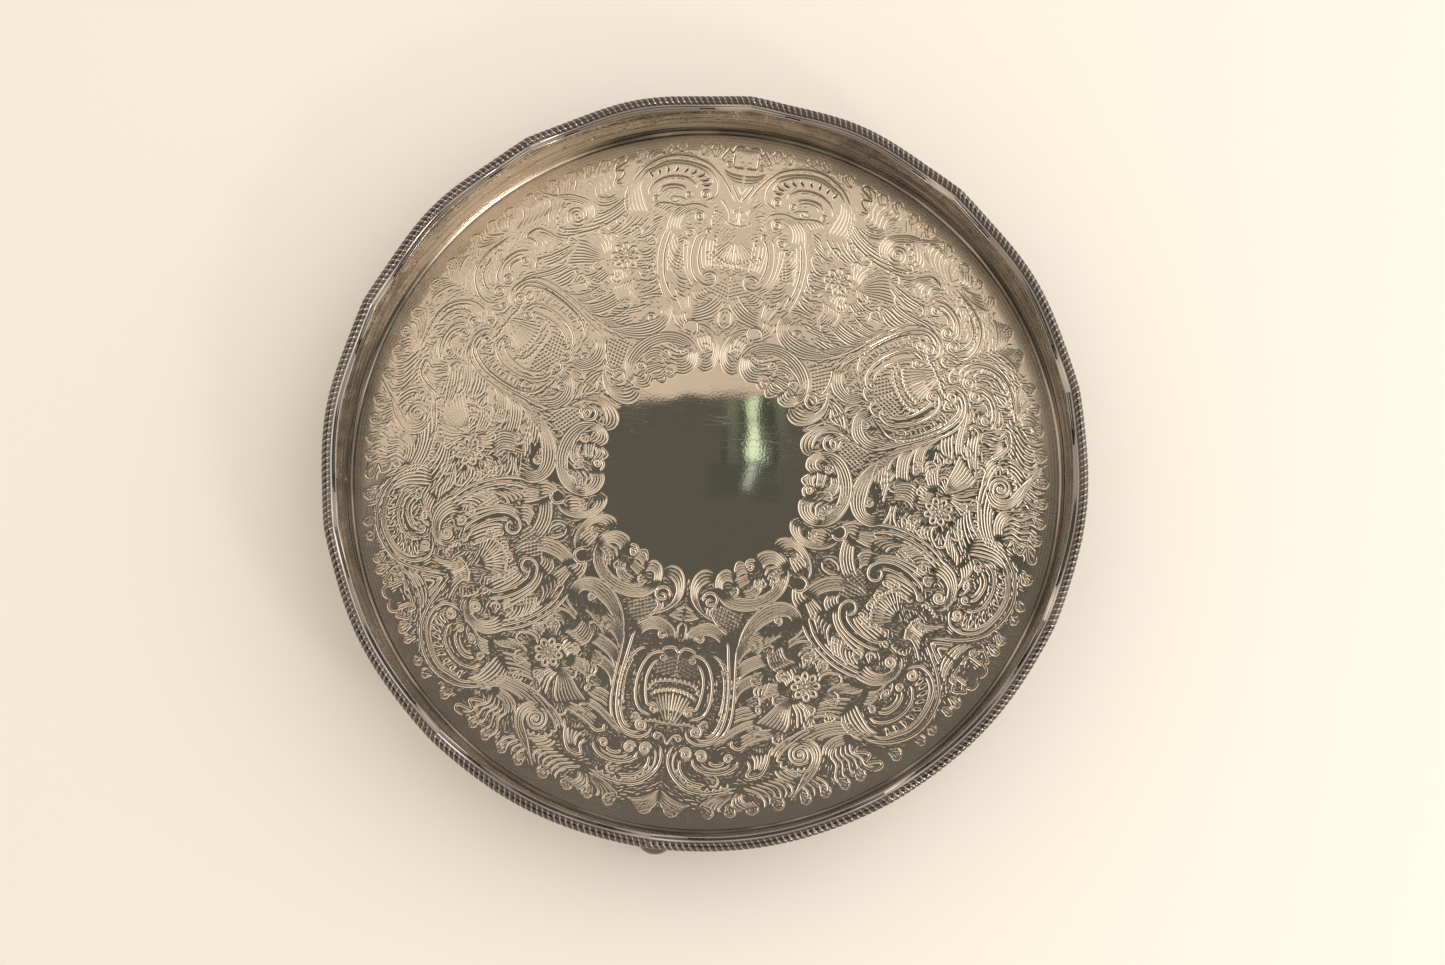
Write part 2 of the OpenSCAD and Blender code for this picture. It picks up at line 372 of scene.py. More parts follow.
each(gadroon, [
    (42.4, 149.6, 42, 152.6), (43.8, 150.8, 43.7, 154), (45.3, 151.2, 45.5, 154.6),
    (46.8, 151.2, 47.4, 154.2), (48.3, 150.4, 49.4, 153.2), (49.6, 149.2, 51, 151.4),
    (50.8, 147.6, 52.6, 149.2), (51.6, 145.4, 53.5, 146.4), (51.9, 143.2, 53.8, 143.5),
])
each(volute, [
    ((52.6, 138.6), 2.6, 180, 1.8, -1), ((49.2, 138.8), 1.8, 90, 1.6, 1),
    ((42.4, 138.8), 1.8, -90, 1.6, -1), ((57, 154.2), 1.7, 0, 1.7, 1), ((51.3, 127.4), 3.0, 0, 1.9, 1),
    ((53.4, 119.4), 1.5, 0, 1.4, 1),
])
each(sheaf, [
    (6, [(38, 149.4), (36.6, 143.6), (36, 138), (36.8, 133)],
     [(40.8, 150.4), (39.9, 145), (39.9, 138), (40.2, 132)]),
    (5, [(36.4, 134.6), (34.4, 131), (32.4, 129), (30.8, 128.6)],
     [(40.4, 130), (38, 126.6), (35.4, 124.6), (33, 124)]),
    (5, [(43.4, 119), (44, 124), (45.4, 129.4), (47.8, 132.8), (50.6, 133.6), (53, 131.6), (54, 128)],
     [(46.8, 120), (46.8, 123.6), (47.6, 127.4), (48.8, 129.8), (50.6, 130.8), (52, 129.8)]),
    (4, [(43.6, 116), (43.8, 111.6), (44.6, 108.4), (45.8, 107)],
     [(45.8, 118), (46, 114.4), (46.8, 112)]),
    (4, [(42.4, 108.6), (43, 104.6), (44.4, 101.6), (46.2, 100.6)],
     [(43.6, 112), (44.6, 107.6), (46.4, 105)]),
    (5, [(43.4, 92), (44.2, 88.6), (46, 86.4)], [(42.8, 103.6), (43.8, 99.6), (45, 96.6), (47.4, 95)]),
    (4, [(39.6, 108), (38.4, 105.2), (36.8, 104.4), (35, 105.6)],
     [(39.2, 100), (37.6, 98.2), (35.8, 98.4), (34, 100)]),
    (4, [(40.6, 116), (38.8, 113.4), (37, 113), (35.8, 115)],
     [(39.9, 109.6), (38.4, 108), (36.6, 108.6)]),
    (3, [(39.3, 97), (37.4, 94.4), (35, 93.4), (32.4, 94)],
     [(39.7, 89.4), (37.6, 90.6), (35, 91.4), (33, 91.6)]),
    (5, [(41.8, 124), (40, 121.4), (38, 120.4), (36, 121)],
     [(43.6, 129), (41.4, 127.8), (39.8, 125), (38.4, 123.6)]),
    (2, [(47.8, 118), (47.2, 112), (47, 106), (47.2, 100), (48.4, 94.6), (50.8, 90.4)],
     [(49, 116.8), (48.3, 111.6), (47.9, 106), (48, 100), (49, 95), (51.2, 91.6)]),
    (4, [(52.2, 117), (51.8, 110), (52, 103), (53.2, 99.6)],
     [(54.8, 116), (54.6, 110), (54.4, 104), (54.4, 101)]),
    (5, [(41.4, 134), (43, 136), (45.6, 135)], [(43.4, 131), (45.6, 133.6), (48.6, 133)]),
    (5, [(55.6, 137), (57.2, 132), (58, 127), (57.2, 123)],
     [(59.4, 131), (59.6, 128), (59.4, 124), (58.6, 121.6)]),
])
frill([(54.6, 117), (54.6, 111), (54.2, 105), (54.4, 101)], 1.7, 6, -1)
frill([(55.4, 129.6), (54.6, 126), (54.8, 122.6)], 1.5, 4, 1)
shell((60, 133), 2.0, 9.6, 240, 276, 6, 0.8, 0.3)
shell((60, 117.6), 3.4, 13.4, 240, 292, 7, 1.1, 0.32)
lattice([(43.6, 104), (47.4, 112.5), (46.6, 100), (45.6, 97.4)])
lattice([(55.4, 91.5), (61, 99.5), (61, 85.5), (57.5, 84), (54.4, 88)])
print("strokes so far:", len(STROKES))

# %% [markdown]
# ## Between the cartouches
# A leafy volute under the border runs on into the arch of the shield. Below it lie a round
# flower with its leaves and sprays. Leaf tips reach the plain border all the way round, so the
# ornament ends in a ragged line.

# %% Draw the volute, the flower, the sprays and the border tufts
each(sheaf, [
    (4, [(21.6, 163.6), (24, 157.4), (27, 153.4), (29.4, 147.4), (29.9, 142), (28.8, 137.6),
     (26.4, 135.2)],
     [(24.4, 155), (26.4, 150.6), (28, 147), (28.3, 142.6), (27.4, 139.4), (25.8, 138)]),
    (5, [(22.6, 138), (24.8, 134.4), (28.4, 132.4), (32, 133), (35.4, 135.6), (38, 141)],
     [(29.6, 139.6), (31, 138.6), (33.6, 139.4), (36, 142), (38.4, 147)]),
    (3, [(20.6, 140), (22, 136.4), (24.6, 134), (26, 133.4)],
     [(21.6, 142.6), (22.6, 139.4), (24.4, 137), (26, 136)]),
    (5, [(33, 143.6), (31.4, 148), (31.6, 153), (30.6, 158), (31, 162.6)],
     [(35.6, 146), (35, 150.6), (36, 155), (36.2, 159), (37.4, 162.4)]),
    (4, [(30, 147), (31, 143), (33, 141.4), (35.6, 142.4)],
     [(31.2, 150), (32, 146.6), (33.4, 145), (35, 145.6)]),
    (6, [(0, 152.6), (1.6, 156), (3.8, 158.6), (5.6, 159)],
     [(0.1, 157), (0.9, 160.6), (2.4, 162.8), (3.6, 163)]),
    (5, [(13.2, 153.2), (10, 154.6), (7.6, 157.6), (7, 160.6)],
     [(12.8, 154.6), (11.2, 157), (10.2, 160), (10.6, 162.6)]),
    (4, [(13.6, 153.6), (12.6, 157), (12.8, 160), (14, 162.4)],
     [(14.4, 153.6), (14.2, 156.6), (15, 159.4), (16.4, 160.8)]),
    (6, [(14.4, 151.6), (17, 155), (18, 159), (17.8, 162.8)],
     [(20, 149.6), (22.4, 153), (23, 157), (21.8, 160.4)]),
    (4, [(20.8, 146), (21.4, 149.6), (23, 153.4)], [(22.8, 146.4), (24, 149.6), (25.4, 152)]),
    (4, [(24.6, 155.6), (25.4, 160), (25, 163.4)], [(27.4, 154), (28.8, 159), (28.6, 163)]),
])
draw([(37, 149.4), (35.6, 151.4), (36.8, 153.2), (37.6, 156), (36.2, 158), (38.4, 160.8), (38.2, 163.4),
      (36.2, 162.6)], BOLD)
volute((26.1, 142.4), 5.4, 180, 2.3, 1)
frill([(22.9, 138), (22.4, 142.6), (23.8, 147), (26.2, 148.6)], 1.8, 6, -1)
each(tuft, [
    ((2.4, 156.4), (2.2, 163.6), 2.2, 5), ((6.6, 157), (8.8, 163.2), 1.8, 4),
    ((11.6, 157), (12.2, 163.4), 1.8, 4), ((15.6, 157), (15.8, 163.4), 2, 5),
    ((18.8, 156.4), (20.6, 163.2), 2, 5), ((24, 158), (25, 164), 1.7, 4),
    ((27.6, 157.6), (28.4, 163.8), 1.8, 4), ((30.6, 158), (32, 163.8), 1.7, 4),
    ((34, 157), (34.8, 163.4), 1.8, 4), ((40.4, 157.6), (41.8, 163.6), 2, 5),
    ((45, 161), (46.4, 164.4), 1.6, 3), ((48.4, 160.8), (48.6, 164.2), 1.6, 3),
    ((52, 158), (52.8, 163.6), 1.5, 4), ((54.4, 156.4), (54.6, 163.8), 1.7, 4),
    ((7, 144.4), (10, 148.6), 1.8, 4), ((24.4, 129), (22.4, 134), 1.8, 4),
    ((31.4, 126), (29.6, 132.6), 2, 5), ((34.6, 127.6), (34.2, 133.6), 1.8, 4),
    ((28.6, 117.6), (24.4, 114.6), 1.8, 4), ((34.6, 120.4), (37.6, 126.4), 2.2, 5),
    ((36.6, 116.4), (40.6, 118.6), 1.9, 4), ((30.6, 120.6), (31.2, 127), 2, 5),
    ((36.4, 111), (39.4, 108.6), 1.8, 4), ((33.6, 107.6), (36.8, 102.6), 2, 5),
    ((30.2, 107.6), (27.4, 104.4), 1.8, 4), ((34.6, 100.6), (38.4, 103.6), 1.6, 4),
    ((34, 96.4), (38.6, 99.6), 1.8, 4), ((24.4, 100), (20.6, 104.4), 1.6, 4),
    ((24.4, 95), (28.4, 90.4), 1.6, 4), ((17, 112.6), (21, 113.4), 1.8, 4),
    ((16, 126.6), (19.8, 127), 1.6, 4), ((9, 124.6), (7.2, 121), 1.5, 4),
    ((47.6, 122), (49.6, 118.4), 1.6, 4), ((56, 107), (53, 107), 1.5, 4),
    ((44.4, 114.6), (48, 114.4), 1.6, 4), ((46.4, 139.6), (46.2, 136), 1.8, 5),
    ((58.2, 107.4), (58.4, 101.4), 1.7, 4),
])
FLOWER = (32.6, 114)
flower(FLOWER, 6.6, 8, 10)
flower(FLOWER, 3.8, 9, 0)
for k in (0.55, 1.1, 1.7, 2.3):
    dots = int(7 * k)
    g = np.arange(dots) / dots * 2 * math.pi
    for q in around(spot([FLOWER])[0], k * 1.1, g):
        press(q + np.array([[0, 0], [0.12, 0.05]]), 0.3, 1.0, 0.01)
print("strokes so far:", len(STROKES))

# %% [markdown]
# ## Round the plain centre
# Swags hang from the stems over a ring of long ovals and curled leaves. Their backs make the
# scalloped edge of the plain middle of the plate, which is left bare for a crest.

# %% Draw the swags and the inner ring
each(sheaf, [
    (6, [(13.4, 74), (9, 70.6), (5.4, 67), (2.8, 62.6), (1.9, 58), (2.4, 53.6), (4.6, 50), (8, 48.5),
     (12, 49), (14, 51)],
     [(8.2, 69.4), (6.2, 66.6), (4.9, 63), (4.6, 60), (5.2, 57.4), (6.6, 55.4), (9, 53.8), (12, 53)]),
    (5, [(13.6, 58), (14.2, 53.6), (16.6, 50.4), (20.4, 49.6), (23.4, 51.6)],
     [(16.4, 58.6), (16.8, 55.6), (18.6, 54), (21, 54.4), (22.4, 56)]),
    (6, [(48.9, 60), (49.2, 56), (47.8, 52), (44.6, 49.4), (41, 48.6), (37.6, 49.6)],
     [(45.4, 59.6), (44.8, 56.6), (43, 54.6), (40.6, 54.2), (38, 55.4)]),
    (4, [(46.6, 62), (42, 61.8), (38.4, 65), (36.4, 67.8)], [(47, 59.8), (43, 57.4), (40, 57), (37, 59)]),
    (5, [(13.4, 58), (15.4, 63.6), (19, 67.6), (25, 70.6), (31.6, 71.6), (37, 70.7), (42, 68.6),
     (46.4, 64.6), (48.8, 60)],
     [(17.6, 61.4), (21, 63.6), (26, 65.4), (31, 66.6), (36, 66.4), (40, 64.6), (45.4, 61.6)]),
    (5, [(24.6, 64.4), (28, 65.4), (32, 64.4), (35, 61)],
     [(25, 61.2), (28, 61.8), (31, 60.6), (33, 57.6)]),
    (4, [(24.4, 53.8), (28, 52.6), (31, 53.6)], [(25, 49.8), (27.8, 48.5), (31, 50)]),
    (4, [(24, 59), (27, 58.2), (30.4, 57.4)], [(23, 55), (27, 55), (30.6, 54.6)]),
    (6, [(49.2, 72.8), (53, 71.2), (56.4, 67.4), (58.9, 62), (59.5, 57), (58, 52), (55, 49.4),
     (51.6, 48.9), (49.4, 50.6)],
     [(52.6, 68.8), (55, 66), (56.6, 62), (57, 58), (56, 55.2), (53.8, 53.6), (51.4, 53.6)]),
    (6, [(49.4, 66.4), (50.4, 62), (52, 59)], [(54.8, 68), (55.4, 63.6), (55, 60)]),
    (6, [(1.8, 84), (2.4, 78.6), (5.4, 75.2), (9.6, 74), (13.8, 77), (16.2, 81.6)],
     [(4.2, 83.4), (5.2, 80), (7.6, 78.8), (10.4, 79.4), (12.4, 81.4), (13.4, 84.4)]),
    (7, [(17.3, 93), (18.8, 86), (21.4, 79.6), (26, 74.2), (32, 71.8), (37.6, 73.8), (40.6, 78.6),
     (41, 84), (39.6, 89)],
     [(20.6, 88.4), (23, 83), (27, 80), (31, 79), (35, 78.8), (37.4, 80.6), (37.8, 83.6), (37, 86)]),
    (4, [(21, 89.8), (24.4, 86.4), (27.6, 84.8)], [(22.8, 92.6), (26, 89.4), (30, 87.6), (33.4, 87.2)]),
    (5, [(47, 75.2), (51, 75.6), (55, 77.4), (58, 81), (60, 85.6)],
     [(48.6, 80.4), (51, 81), (54, 83.4), (56.4, 87), (57.4, 90)]),
    (4, [(41.6, 80), (41.8, 76), (43.4, 72.6), (45, 71)],
     [(45.6, 79), (45.4, 76.6), (46, 75), (47, 74.6)]),
    (5, [(43.4, 88), (44.2, 84), (45, 80)], [(47.4, 88), (47.4, 84), (47.2, 80)]),
    (4, [(0, 72.6), (3, 72), (6, 70.8)], [(0, 66.2), (1.6, 67), (3.6, 68.6)]),
    (5, [(48.6, 90), (49.6, 86), (52.4, 84.4)], [(52.4, 90.4), (53.4, 88.4), (55, 88)]),
])
each(draw, [
    ([(7.4, 63.8), (7.6, 61), (9.4, 59.3), (12, 59.6), (13.6, 62), (12.8, 64.4), (10.6, 65.1), (9, 64.2),
     (9.6, 62.6), (12, 62.6)], BOLD),
    ([(9.4, 66), (9, 68.4), (9.2, 70.4)], LIGHT),
    ([(10.5, 66.8), (10.2, 69), (10.4, 71)], LIGHT),
    ([(31, 51.6), (32.8, 50.4), (34.8, 51.4), (33, 52.9), (31.2, 52)], BOLD),
    ([(30.8, 50.2), (33.6, 48.6), (37, 49.8)], BOLD),
    ([(24.4, 51), (27.7, 47.6), (31, 49.6)], BOLD),
    ([(44.6, 70.8), (45, 73.4), (47.2, 74.8), (49.6, 73.6), (50.1, 70.6), (49, 68.4)], BOLD),
    ([(16.2, 80), (13.8, 76.4), (11.6, 72), (10.8, 67.8), (13.6, 65.4)], BOLD),
    ([(60, 81), (58, 78.6), (57.8, 74), (60, 71.4)], LIGHT),
    ([(0, 83), (1.2, 80.4), (1.4, 76), (0, 73.4)], LIGHT),
])
volute((6.4, 81), 1.9, 180, 1.6, -1)
volute((33.6, 80.4), 2.1, 0, 1.6, 1)
frill([(37.6, 65.6), (38.6, 61.6), (41.4, 59.4), (45, 60)], 1.6, 6, -1)
tuft((19, 58.4), (22.6, 61), 1.6, 4)
tuft((36, 57.6), (33.6, 62), 1.8, 4)
tuft((51.6, 57.6), (54, 61.8), 1.6, 4)
lattice([(15.6, 79), (11.4, 72), (11.4, 67.4), (14.8, 65.4), (20, 69.8), (23.6, 71.4), (21.6, 74.6),
         (18.4, 78.6)])
print("strokes:", len(STROKES), "length m:",
      round(sum(np.linalg.norm(np.diff(s[:, :2], axis=0), axis=1).sum() for s in STROKES) / 1000, 1))

# %% [markdown]
# ## The ground between
# A chaser leaves almost no bare metal between the big forms: short curved cuts follow the nearest
# scroll. Places that stay bright and plain are listed, and nothing is cut inside them.

# %% Fill the ground with short cuts that follow the nearest stroke
PLAIN = [
    [(4.6, 117.6), (6.6, 116), (8, 111), (8.7, 105), (8.7, 99.6), (7.8, 94), (6.2, 91.4), (6.8, 94.6),
     (7.5, 99), (7.4, 106), (6.4, 112.4)],
    [(12.4, 125.6), (13.2, 119), (14.2, 112), (13.6, 111), (12.6, 118), (11.2, 124)],
    [(15.6, 112.4), (17, 108.8), (19.4, 107), (21.6, 106.6), (20.2, 109.6), (17.4, 112.6)],
    [(17.2, 98), (19, 93.2), (21.6, 91.4), (25.6, 91), (21.6, 92.4), (19, 95.6)],
    [(0.9, 138), (1.5, 145), (5, 151), (10, 152.4), (12.4, 151), (6.8, 150.6), (3.2, 145.6), (2.2, 138)],
    [(9.2, 139), (10.6, 139), (11.4, 137), (10.8, 133.6), (9.4, 134)],
    [(38.2, 146), (42.6, 155.4), (47.2, 158.8), (51.6, 156.4), (54.6, 149), (56.4, 142), (55.2, 141),
     (53.6, 151.2), (48, 157), (45.6, 157), (41.6, 153.4)],
    [(41.9, 141), (43, 145), (46, 147.4), (48.6, 146), (50, 142), (49.4, 141.6), (47, 145.4), (44, 145)],
    [(59, 161.4), (58.8, 156.6), (60.5, 155.8), (60.5, 161.4)],
    [(38.4, 163.6), (38.6, 160), (37.8, 156), (37.2, 152), (38.8, 152), (40, 157), (40.2, 163.6)],
    [(49.4, 118), (49, 112), (48.7, 104), (49.4, 97.4), (51.6, 93.6), (50.6, 98), (50.2, 106), (50.8, 113)],
    [(28, 81.4), (28.6, 84.6), (32, 85.4), (36, 83.8), (38, 84.6), (37.8, 80.8), (35.4, 80.6), (32, 83),
     (30, 80)],
    [(35.4, 71.6), (38.6, 73.6), (41.4, 76.6), (42.4, 71.6), (44, 69.6), (41, 69.8)],
    [(46, 72.6), (48, 73.8), (49.2, 72), (48.8, 69.4), (47, 68.8), (45.8, 70)],
    [(0.4, 73), (2.2, 74.4), (1.9, 78), (1, 80), (0, 79)], [(1.2, 68), (3, 69), (1.4, 62), (0, 61)],
    [(5.6, 87.6), (7, 84), (8.6, 81.4), (9.4, 84), (9, 87.4)],
    [(8, 63), (9, 60.6), (11.6, 60.2), (12.8, 62), (12, 61.6), (9.6, 61.4)],
    [(8.6, 59), (12.6, 59), (13, 57.8), (9, 57.6)],
    [(26.4, 112.4), (27, 109), (29.6, 107), (28.4, 111.4)], [(27.2, 120.6), (28.6, 119), (28.6, 122.6)],
    [(49.4, 66), (48.6, 61), (50, 57.6), (50.4, 61)], [(35, 65.6), (35.6, 60), (37.8, 58.4), (36.8, 63)],
    [(60, 79.6), (58.9, 77.4), (58.8, 75), (60, 73)],
]
PLAIN = [spot(c) for c in PLAIN]


def fill(spacing, gap, length):
    """Jittered short cuts wherever the nearest stroke is over gap mm away, in its direction."""
    pts = np.vstack([s[:, :2] for s in STROKES])
    dirs = np.vstack([sides(s[:, :2])[0] for s in STROKES])
    order = np.argsort(pts[:, 0])
    pts, dirs = pts[order], dirs[order]
    made, reach = 0, 4
    cand = np.array([(a, r) for r in np.arange(50.5, 162, spacing)
                     for a in np.arange(0, 60, math.degrees(spacing / r))])
    cand += rng.uniform(-0.5, 0.5, cand.shape) * np.c_[np.degrees(spacing / cand[:, 1]),
                                                       np.full(len(cand), spacing)]
    a = np.radians(cand[:, 0])
    edge = 161.2 + 1.4 * np.sin(a * 54)
    rim = 52.6 + 1.5 * np.abs(np.sin(a * 12))
    cand = spot(cand[(cand[:, 1] < edge) & (cand[:, 1] > rim)])
    for corners in PLAIN:
        cand = cand[~inside(cand, corners)]
    for c in cand:
        a, b = np.searchsorted(pts[:, 0], (c[0] - reach, c[0] + reach))
        dist = np.hypot(*(pts[a:b] - c).T)
        if not len(dist) or dist.min() < gap:
            continue
        k = int(dist.argmin())
        u = dirs[a + k] * rng.choice((-1, 1))
        v = left(u) * rng.uniform(-0.5, 0.5)
        t = np.linspace(-0.5, 0.5, 17)[:, None] * min(length, 3.4 * dist[k]) * rng.uniform(0.8, 1.3)
        press(c + u * t + v * t ** 2 * 0.3, 0.23, 0.72, 0.35)
        made += 1
    return made


print("ground cuts:", fill(1.45, 1.05, 4.4), fill(1.2, 0.95, 2.4))

# %% [markdown]
# ## Pressing the strokes into the plate
# The wedge becomes a fine height map on rings and spokes, and twelve copies of 30 degrees, every
# other pair mirrored, make the chased zone. Each is one mesh light enough to keep every groove.

# %% Height map of one wedge, and the twelve chased sectors
R0, R1 = 46.5, 166.5           # the chased zone, mm
RING, SPOKE = 0.32, 0.1        # steps of the map: mm outwards, degrees round
HALF = int(round(30 / SPOKE))  # spokes in one sector
SPLIT = 100.5                  # inside this radius every second spoke is enough
SLOPE = 0.80                   # steepness of a groove's two walls


def height_map():
    """Groove depth on rings and spokes; the strokes are mirrored over both edges of the wedge."""
    x, y, w, d = np.vstack(STROKES).T
    a, r = np.degrees(np.arctan2(y, x)), np.hypot(x, y)
    a = np.concatenate([a, -a, 120 - a])
    ok = (a > -1.2) & (a < 61.2)
    a, r, w, d = a[ok], np.tile(r, 3)[ok], np.tile(w, 3)[ok], np.tile(d, 3)[ok]
    rows, cols = int(round((R1 - R0) / RING)) + 1, 2 * HALF + 1
    depth = np.zeros((rows, cols), np.float32)
    ia, ir = np.round(a / SPOKE).astype(int), np.round((r - R0) / RING).astype(int)
    for dj in range(-8, 9):
        for di in range(-3, 4):
            jj, ii = ia + dj, ir + di
            gap2 = (ii * RING + R0 - r) ** 2 + (np.radians(jj * SPOKE - a) * r) ** 2
            h = d * np.maximum(0, 1.25 * w - np.sqrt(gap2))
            ok = (jj >= 0) & (jj < cols) & (ii >= 0) & (ii < rows) & (h > 0)
            np.maximum.at(depth, (ii[ok], jj[ok]), h[ok])
    return depth


def placed(name, data):
    """A new object in the scene."""
    ob = bpy.data.objects.new(name, data)
    bpy.context.scene.collection.objects.link(ob)
    return ob


def mesh_of(name, verts, quads, cut=None):
    """A mesh object from arrays in mm, smooth shaded, with cut as an attribute: groove depth, rubbing, and
    painted highlights on the wall, cove and border.
    """
    me = bpy.data.meshes.new(name)
    me.vertices.add(len(verts))
    me.vertices.foreach_set("co", (np.asarray(verts, np.float32) * MM).ravel())
    me.loops.add(quads.size)
    me.loops.foreach_set("vertex_index", quads.astype(np.int32).ravel())
    me.polygons.add(len(quads))
    me.polygons.foreach_set("loop_start", np.arange(0, quads.size, 4, dtype=np.int32))
    me.update(calc_edges=True)
    me.validate()
    me.shade_smooth()
    if cut is not None:
        att = me.attributes.new("cut", "FLOAT", "POINT")
        att.data.foreach_set("value", np.asarray(cut, np.float32).ravel())
    return placed(name, me)


def wrapped(ang, rad, z):
    """Points x, y, z on a grid of rings (rows) and angles (columns), in one list."""
    return np.stack(np.broadcast_arrays(rad * np.cos(ang), rad * np.sin(ang), z), -1).reshape(-1, 3)


def grid_quads(rows, cols, first=0):
    i, j = np.meshgrid(np.arange(rows - 1), np.arange(cols - 1), indexing="ij")
    a = first + i * cols + j
    return np.stack([a, a + 1, a + cols + 1, a + cols], -1).reshape(-1, 4)


def rubbed(rr, aa):
    """Fine concentric rubbing marks, stronger towards the border and the far side, below zero."""
    amount = np.clip((rr - 110) / 55, 0, 1) ** 1.5 * 0.26
    edge = np.clip((rr - 161) / 4, 0, 1)[:, None] * (0.16 + 0.16 * np.sin(aa))
    return -(amount[:, None] + edge) * (1 + 0.5 * np.sin(rr * 7.3) * np.sin(rr * 2.9))[:, None]


depth = height_map()
split = int(round((SPLIT - R0) / RING))
radii = R0 + RING * np.arange(len(depth))
sectors = []
for k in range(12):
    mirrored, half = k // 2 % 2, k % 2
    lo = HALF * (half ^ mirrored)
    part = depth[:, lo:lo + HALF + 1]
    if mirrored:
        part = part[:, ::-1]
    ang = np.radians(FRONT + 30 * k + SPOKE * np.arange(HALF + 1))
    v, q, c = [], [], []
    for block, rr, aa in ((part[split:], radii[split:], ang),
                          (part[:split + 1, ::2], radii[:split + 1], ang[::2])):
        q.append(grid_quads(*block.shape, first=sum(len(x) for x in v)))
        v.append(wrapped(aa, rr[:, None], PLATE - SLOPE * block))
        c.append(np.where(block > 0, np.clip(block / 0.4, 0, 1), rubbed(rr, aa)).ravel())
    sectors.append(mesh_of(f"plate_chasing_{k + 1:02d}", np.vstack(v), np.vstack(q)[:, ::-1],
                           np.concatenate(c)))
print("sector faces:", len(sectors[0].data.polygons), "deepest mm:", round(float(depth.max() * SLOPE), 2))

# %% [markdown]
# ## The plain parts of the plate
# The middle is bare and the border outside the ornament is bare too. The disc then turns up in a
# small cove and ends in a lip against the wall, where a thin dark seam shows.

# %% Plate body: middle, border, cove, lip and underside
FINE = 1440        # steps round the outer parts, four to a degree


def revolve(name, profile, steps, cut=None):
    """A full surface of revolution from (radius, z) points in mm."""
    p = np.array(profile, float)
    ang = np.radians(np.linspace(0, 360, steps, endpoint=False))
    i, j = np.meshgrid(np.arange(len(p) - 1), np.arange(steps), indexing="ij")
    a, b = i * steps + j, i * steps + (j + 1) % steps
    quads = np.stack([a, b, b + steps, a + steps], -1).reshape(-1, 4)[:, ::-1]
    return mesh_of(name, wrapped(ang, p[:, :1], p[:, 1:]), quads, cut)


def arc(cx, cz, r, a0, a1, n):
    """Profile points (radius, z) on an arc from a0 to a1 degrees."""
    return [tuple(p) for p in around((cx, cz), r, np.radians(np.linspace(a0, a1, n)))]


ring = np.linspace(R1, FLAT, 12)
turn = np.arange(FINE) / 4
plate_body = revolve("plate_body", [(r, PLATE) for r in ring], FINE, rubbed(ring, np.radians(turn)))
profile = (arc(FLAT, PLATE + 1.8, 1.8, -90, 0, 10) + [(171.2, PLATE + 5.3)]
           + arc(171.35, PLATE + 5.42, 0.14, 180, 0, 6)
           + [(WALL, PLATE + 0.2), (BACK, PLATE), (BACK, BASE)])
# Cove and lip: the film is heavier all round, and lifted round 138 degrees, where the metal is left light:
# a painted highlight.
painted_highlight_and_film = 1.1 - 3.3 * np.exp(-((turn - 138) / 19) ** 2)
lip = revolve("plate_lip", profile, FINE, np.tile(painted_highlight_and_film, len(profile)))
under = revolve("plate_underside", [(BACK, BASE), (60, BASE), (0.01, BASE)], 720)
middle = revolve("plate_middle", [(r, PLATE) for r in (0.01, 8, 20, 34, R0)], 1800)
for ob in sectors + [plate_body, middle, lip, under]:
    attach(ob, "root")
    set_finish(ob, "band_silver" if ob is lip else "plate_silver")
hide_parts("tray_plate")
print("plate body faces:", len(plate_body.data.polygons))

# %% [markdown]
# ## Gallery band
# The wall is rolled strip, printed by an engraved roller before it was bent: a row of small
# scrolls and leaves under the rim, and two rows of long and short dashes lower down.

# %% Draw and build the wall
TOP = PLATE + 27.6           # height of the band's top edge
ROWS, ROUND = 73, 3600       # size of the wall's map: steps up, steps round
LOW, UP, TURN = 5.4, 0.31, 0.1      # its lowest row over the plate, mm; its steps, mm and degrees
REPEAT = math.radians(36) * WALL    # length of the roller's pattern, mm


def wall_map():
    """Groove depth over the wall, by height and distance along it, repeated every 36 degrees."""
    marks = []

    def cut(x, z, width, depth):
        marks.append(np.c_[x, z, np.full(len(x), width), np.full(len(x), depth)])

    for z in (12.4, 18.1):
        x = 1.5
        for size in (13, 11.5, 13, 2.2, 2.2, 2.2, 2.2, 2.2, 13, 11.5):
            t = np.arange(0, size, 0.25)
            cut(x + t, z + 0.25 * np.sin(t), 0.42, 1.0)
            x += size + (2.6 if size > 5 else 1.9)
    for x in np.arange(0.4, REPEAT, 15.4):
        a = np.linspace(0, 6.3, 16)
        cut(x + 0.5 * np.cos(a), 15.2 + 0.5 * np.sin(a), 0.4, 1.0)
    for k, x in enumerate(np.arange(3.0, REPEAT, 6.7)):
        way = 1 if k % 2 else -1
        a = np.linspace(0, 8.5, 60)
        r = 2.6 * (1 - a / 11)
        cut(x + way * r * np.cos(a + 0.6), 24.3 + r * 0.9 * np.sin(a + 0.6), 0.34, 1.0)
        for g in np.linspace(0.3, 2.6, 6):
            t = np.linspace(0.4, 2.3, 9)
            cut(x + way * (3.2 + t * math.cos(g)), 23.2 + t * 1.3 * math.sin(g), 0.3, 0.8)
    m = np.vstack(marks)
    x, z, width, depth = np.vstack([m + [s * REPEAT, 0, 0, 0] for s in range(10)]).T
    grid = np.zeros((ROWS, ROUND), np.float32)
    step = math.radians(TURN) * WALL
    ix, iz = np.round(x / step).astype(int), np.round((z - LOW) / UP).astype(int)
    for dj in range(-3, 4):
        for di in range(-3, 4):
            jj, ii = ix + dj, iz + di
            gap2 = (ii * UP + LOW - z) ** 2 + (jj * step - x) ** 2
            ok = (ii >= 0) & (ii < ROWS)
            np.maximum.at(grid, (ii[ok], jj[ok] % ROUND), (depth * np.exp(-gap2 / width ** 2))[ok])
    return grid


